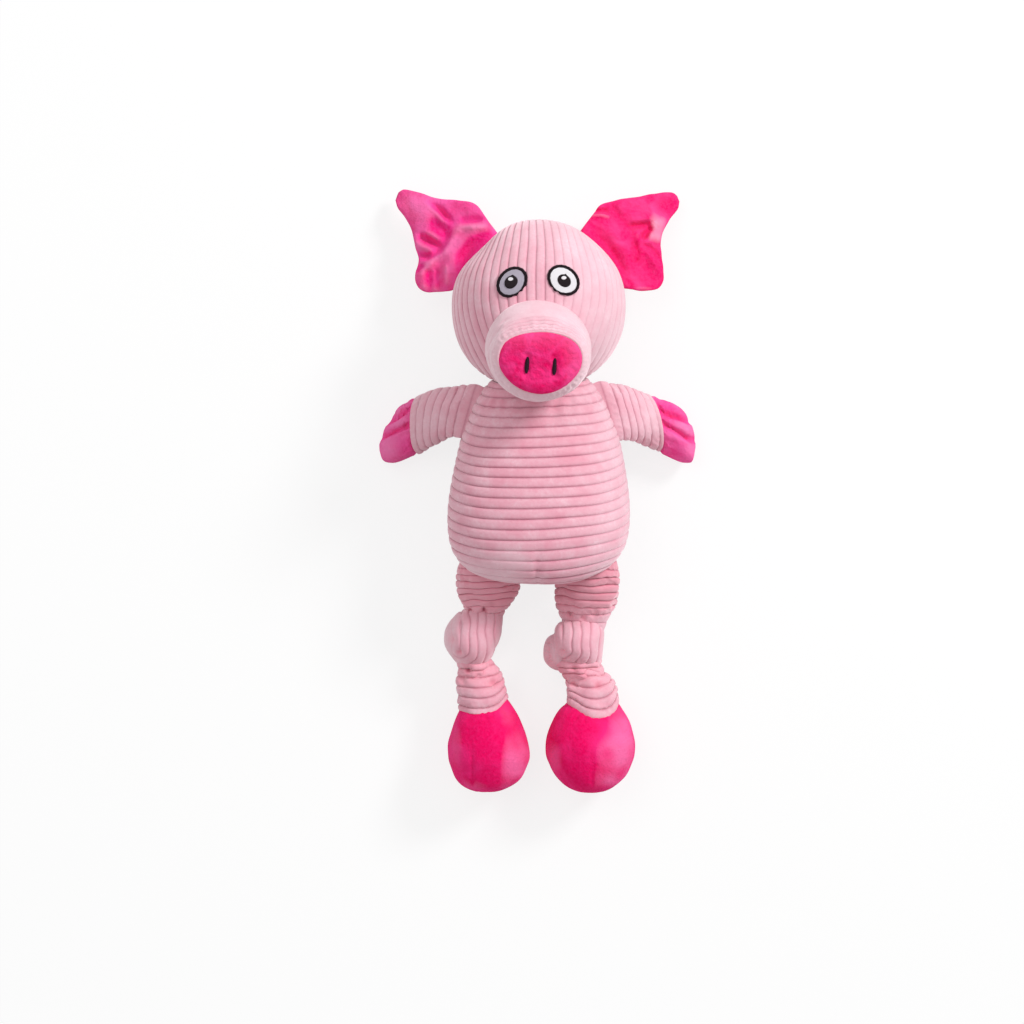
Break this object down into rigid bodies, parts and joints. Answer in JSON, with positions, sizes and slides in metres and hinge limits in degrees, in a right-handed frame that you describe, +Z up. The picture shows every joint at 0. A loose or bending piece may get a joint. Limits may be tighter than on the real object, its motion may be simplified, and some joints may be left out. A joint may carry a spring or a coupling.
{
  "type": "plush pig",
  "caption": "Soft toy pig with a corduroy body, round head and snout, plush ears, hands and feet, and a knot tied in each leg.",
  "frame": {"origin": "middle of the toy's footprint, on the table it lies on", "axes": "+Z up out of the belly and face as the toy lies on its back, +Y towards the top of the head, +X towards the pig's own left"},
  "size_m": [0.1768, 0.3352, 0.1165],
  "materials": {
    "pale_corduroy": "wide-wale cotton corduroy, matte with a soft pile",
    "bright_plush": "short-pile plush with a soft sheen",
    "filling": "loose polyester fibre",
    "white_thread": "satin stitch embroidery",
    "black_thread": "satin stitch embroidery",
    "squeaker_plastic": "blown soft plastic"
  },
  "bodies": {
    "torso": {"body_front_panel": "pale_corduroy", "body_back_panel": "pale_corduroy", "squeaker_bulb": "squeaker_plastic", "squeaker_reed": "squeaker_plastic", "body_filling": "filling"},
    "head": {"face_panel": "pale_corduroy", "back_of_head_panel": "pale_corduroy", "head_filling": "filling", "snout_band": "pale_corduroy", "snout_disc": "bright_plush", "snout_filling": "filling", "nostril_right": "black_thread", "nostril_left": "black_thread", "eye_outline_right": "black_thread", "eye_white_right": "white_thread", "eye_pupil_right": "black_thread", "eye_glint_right": "white_thread", "eye_outline_left": "black_thread", "eye_white_left": "white_thread", "eye_pupil_left": "black_thread", "eye_glint_left": "white_thread"},
    "ear_right": {"ear_front_right": "bright_plush", "ear_back_right": "bright_plush"},
    "arm_right": {"sleeve_right": "pale_corduroy", "hand_right": "bright_plush", "arm_filling_right": "filling"},
    "thigh_right": {"thigh_cover_right": "pale_corduroy", "thigh_filling_right": "filling"},
    "knot_right": {"knot_right": "pale_corduroy"},
    "shin_right": {"shin_cover_right": "pale_corduroy", "shin_filling_right": "filling"},
    "foot_right": {"foot_cover_right": "bright_plush", "foot_filling_right": "filling"},
    "ear_left": {"ear_front_left": "bright_plush", "ear_back_left": "bright_plush"},
    "arm_left": {"sleeve_left": "pale_corduroy", "hand_left": "bright_plush", "arm_filling_left": "filling"},
    "thigh_left": {"thigh_cover_left": "pale_corduroy", "thigh_filling_left": "filling"},
    "knot_left": {"knot_left": "pale_corduroy"},
    "shin_left": {"shin_cover_left": "pale_corduroy", "shin_filling_left": "filling"},
    "foot_left": {"foot_cover_left": "bright_plush", "foot_filling_left": "filling"}
  },
  "joints": [
    {"name": "head_nod", "type": "hinge", "parent": "torso", "child": "head", "pos_m": [0, 0.10268, 0.04592], "axis": [1, 0, 0], "range_deg": [-30, 2]},
    {"name": "ear_right_swing", "type": "hinge", "parent": "head", "child": "ear_right", "pos_m": [-0.03822, 0.12993, 0.02942], "axis": [0.5807, 0.8141, 0], "range_deg": [-20, 60]},
    {"name": "arm_right_swing", "type": "hinge", "parent": "torso", "child": "arm_right", "pos_m": [-0.03948, 0.04512, 0.03856], "axis": [0.4067, 0.9135, 0], "range_deg": [-25, 80]},
    {"name": "hip_right_bend", "type": "hinge", "parent": "torso", "child": "thigh_right", "pos_m": [-0.0273, -0.05003, 0.03689], "axis": [-1, 0, 0], "range_deg": [-20, 70]},
    {"name": "knee_right_bend", "type": "hinge", "parent": "thigh_right", "child": "knot_right", "pos_m": [-0.03036, -0.06743, 0.019], "axis": [-1, 0, 0], "range_deg": [-30, 30]},
    {"name": "knot_right_bend", "type": "hinge", "parent": "knot_right", "child": "shin_right", "pos_m": [-0.03412, -0.10095, 0.019], "axis": [-1, 0, 0], "range_deg": [-30, 30]},
    {"name": "ankle_right_bend", "type": "hinge", "parent": "shin_right", "child": "foot_right", "pos_m": [-0.03071, -0.12673, 0.02012], "axis": [-1, 0, 0], "range_deg": [-15, 15]},
    {"name": "ear_left_swing", "type": "hinge", "parent": "head", "child": "ear_left", "pos_m": [0.03822, 0.12993, 0.02942], "axis": [0.5807, -0.8141, 0], "range_deg": [-20, 60]},
    {"name": "arm_left_swing", "type": "hinge", "parent": "torso", "child": "arm_left", "pos_m": [0.03948, 0.04512, 0.03856], "axis": [0.4067, -0.9135, 0], "range_deg": [-25, 80]},
    {"name": "hip_left_bend", "type": "hinge", "parent": "torso", "child": "thigh_left", "pos_m": [0.0273, -0.05003, 0.03689], "axis": [-1, 0, 0], "range_deg": [-20, 70]},
    {"name": "knee_left_bend", "type": "hinge", "parent": "thigh_left", "child": "knot_left", "pos_m": [0.02495, -0.07308, 0.019], "axis": [-1, 0, 0], "range_deg": [-30, 30]},
    {"name": "knot_left_bend", "type": "hinge", "parent": "knot_left", "child": "shin_left", "pos_m": [0.02424, -0.10059, 0.019], "axis": [-1, 0, 0], "range_deg": [-30, 30]},
    {"name": "ankle_left_bend", "type": "hinge", "parent": "shin_left", "child": "foot_left", "pos_m": [0.03024, -0.12779, 0.02012], "axis": [-1, 0, 0], "range_deg": [-15, 15]}
  ]
}
